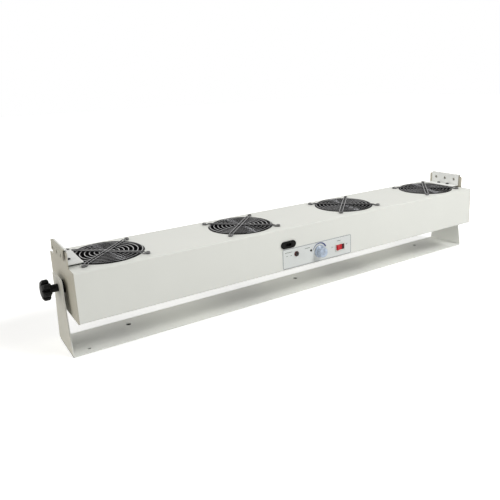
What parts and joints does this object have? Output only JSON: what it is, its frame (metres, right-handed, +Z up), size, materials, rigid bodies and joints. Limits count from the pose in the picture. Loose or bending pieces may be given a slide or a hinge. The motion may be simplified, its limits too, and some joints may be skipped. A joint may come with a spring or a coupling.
{
  "type": "ionizing blower",
  "caption": "Long overhead or bench ionizing blower: a row of guarded fans in a slim sheet-metal housing that tilts in a low strip cradle between clamp knobs.",
  "frame": {"origin": "middle of the cradle's underside", "axes": "+X along the housing towards the right-hand knob seen from the controls, -Y towards the control side, +Z up"},
  "size_m": [1.0114, 0.1676, 0.18],
  "materials": {
    "light_grey_paint": "semi-matt light grey powder coat",
    "blackened_screws": "blackened steel",
    "black_nylon": "plain",
    "zinc_nut": "zinc plated",
    "knob_plastic": "fine grained black",
    "fan_plastic": "satin black",
    "copper_winding": "enamelled copper wire",
    "plated_wire": "nickel-chrome plated wire",
    "white_insulator": "plain",
    "label_film": "printed film",
    "socket_plastic": "moulded black",
    "lamp_lens": "clear dark red",
    "dial_plastic": "smoky clear over silver",
    "pot_metal": "plain",
    "switch_plastic": "light grey",
    "rocker_red": "red",
    "trimmer_blue": "plain",
    "trimmer_brass": "dull",
    "board_green": "solder masked",
    "potting_case": "potted block",
    "cable_black": "plain"
  },
  "bodies": {
    "cradle": {"cradle": "light_grey_paint"},
    "housing": {"housing_shell": "light_grey_paint", "outlet_panel": "light_grey_paint", "end_plate_left": "light_grey_paint", "end_plate_right": "light_grey_paint", "hanger_left": "light_grey_paint", "hanger_right": "light_grey_paint", "hanger_screws": "blackened_screws", "panel_screws": "blackened_screws", "pivot_spacer_left": "black_nylon", "pivot_spacer_right": "black_nylon", "pivot_nut_left": "zinc_nut", "pivot_nut_right": "zinc_nut", "fan_frame_1": "fan_plastic", "fan_frame_2": "fan_plastic", "fan_frame_3": "fan_plastic", "fan_frame_4": "fan_plastic", "fan_stator_1": "copper_winding", "fan_stator_2": "copper_winding", "fan_stator_3": "copper_winding", "fan_stator_4": "copper_winding", "inlet_guard_1": "plated_wire", "inlet_guard_2": "plated_wire", "inlet_guard_3": "plated_wire", "inlet_guard_4": "plated_wire", "outlet_guard_1": "plated_wire", "outlet_guard_2": "plated_wire", "outlet_guard_3": "plated_wire", "outlet_guard_4": "plated_wire", "emitter_ring_1": "white_insulator", "emitter_ring_2": "white_insulator", "emitter_ring_3": "white_insulator", "emitter_ring_4": "white_insulator", "inlet_screws": "blackened_screws", "outlet_screws": "blackened_screws", "label_plate": "label_film", "remote_socket": "socket_plastic", "ion_lamp": "lamp_lens", "dial_pot": "pot_metal", "switch_frame": "switch_plastic", "trimmer_body": "trimmer_blue", "control_board": "board_green", "hv_supply": "potting_case", "power_inlet": "socket_plastic", "wiring_harness": "cable_black"},
    "knob_left": {"clamp_knob_left": "knob_plastic"},
    "knob_right": {"clamp_knob_right": "knob_plastic"},
    "rotor_1": {"fan_rotor_1": "fan_plastic"},
    "rotor_2": {"fan_rotor_2": "fan_plastic"},
    "rotor_3": {"fan_rotor_3": "fan_plastic"},
    "rotor_4": {"fan_rotor_4": "fan_plastic"},
    "dial": {"dial_knob": "dial_plastic"},
    "rocker": {"rocker": "rocker_red"},
    "trimmer": {"trimmer_screw": "trimmer_brass"}
  },
  "joints": [
    {"name": "tilt", "type": "hinge", "parent": "cradle", "child": "housing", "pos_m": [0, 0, 0.108], "axis": [1, 0, 0], "range_deg": [-90, 90]},
    {"name": "fan_1_spin", "type": "hinge", "parent": "housing", "child": "rotor_1", "pos_m": [-0.39375, 0, 0.13], "axis": [0, 0, 1], "continuous": true},
    {"name": "fan_2_spin", "type": "hinge", "parent": "housing", "child": "rotor_2", "pos_m": [-0.13125, 0, 0.13], "axis": [0, 0, 1], "continuous": true},
    {"name": "fan_3_spin", "type": "hinge", "parent": "housing", "child": "rotor_3", "pos_m": [0.13125, 0, 0.13], "axis": [0, 0, 1], "continuous": true},
    {"name": "fan_4_spin", "type": "hinge", "parent": "housing", "child": "rotor_4", "pos_m": [0.39375, 0, 0.13], "axis": [0, 0, 1], "continuous": true},
    {"name": "knob_left_turn", "type": "hinge", "parent": "housing", "child": "knob_left", "pos_m": [-0.48, 0, 0.108], "axis": [-1, 0, 0], "range_deg": [0, 360]},
    {"name": "knob_right_turn", "type": "hinge", "parent": "housing", "child": "knob_right", "pos_m": [0.48, 0, 0.108], "axis": [1, 0, 0], "range_deg": [0, 360]},
    {"name": "dial_turn", "type": "hinge", "parent": "housing", "child": "dial", "pos_m": [0.003, -0.076, 0.089], "axis": [0, -1, 0], "range_deg": [-150, 150]},
    {"name": "trimmer_turn", "type": "hinge", "parent": "housing", "child": "trimmer", "pos_m": [-0.0175, -0.07, 0.0945], "axis": [0, -1, 0], "range_deg": [-135, 135]},
    {"name": "rocker_tip", "type": "hinge", "parent": "housing", "child": "rocker", "pos_m": [0.056, -0.0738, 0.0875], "axis": [0, 0, -1], "range_deg": [0, 16]}
  ]
}
